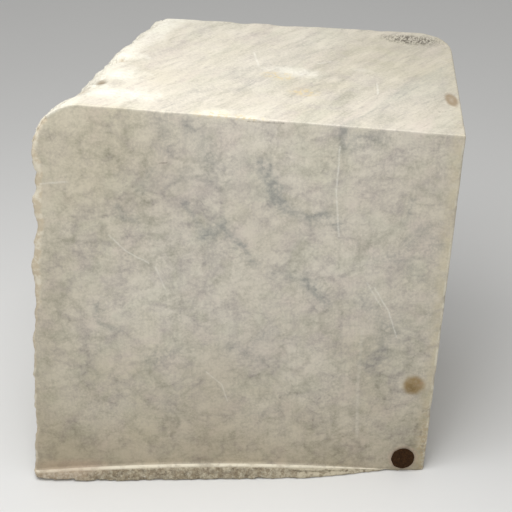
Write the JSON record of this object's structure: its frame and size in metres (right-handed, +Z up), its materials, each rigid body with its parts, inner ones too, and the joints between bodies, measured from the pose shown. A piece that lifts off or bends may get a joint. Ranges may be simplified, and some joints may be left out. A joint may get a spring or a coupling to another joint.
{
  "type": "marble block",
  "caption": "Squared block of grey-veined marble, sawn on its front, top, back and right, rough where it was split on the left, with a small felt dot on its front.",
  "frame": {"origin": "middle of the bounding box on the plane of the base that the block stands on", "axes": "+Z up, -Y out of the sawn front, +X to the right as the front is looked at"},
  "size_m": [0.2314, 0.1437, 0.2191],
  "materials": {
    "marble": "sawn and honed, rough and granular where it is split or broken",
    "brown_felt": "matt felt"
  },
  "bodies": {
    "root": {"marble_block": "marble", "felt_dot": "brown_felt"}
  },
  "joints": []
}
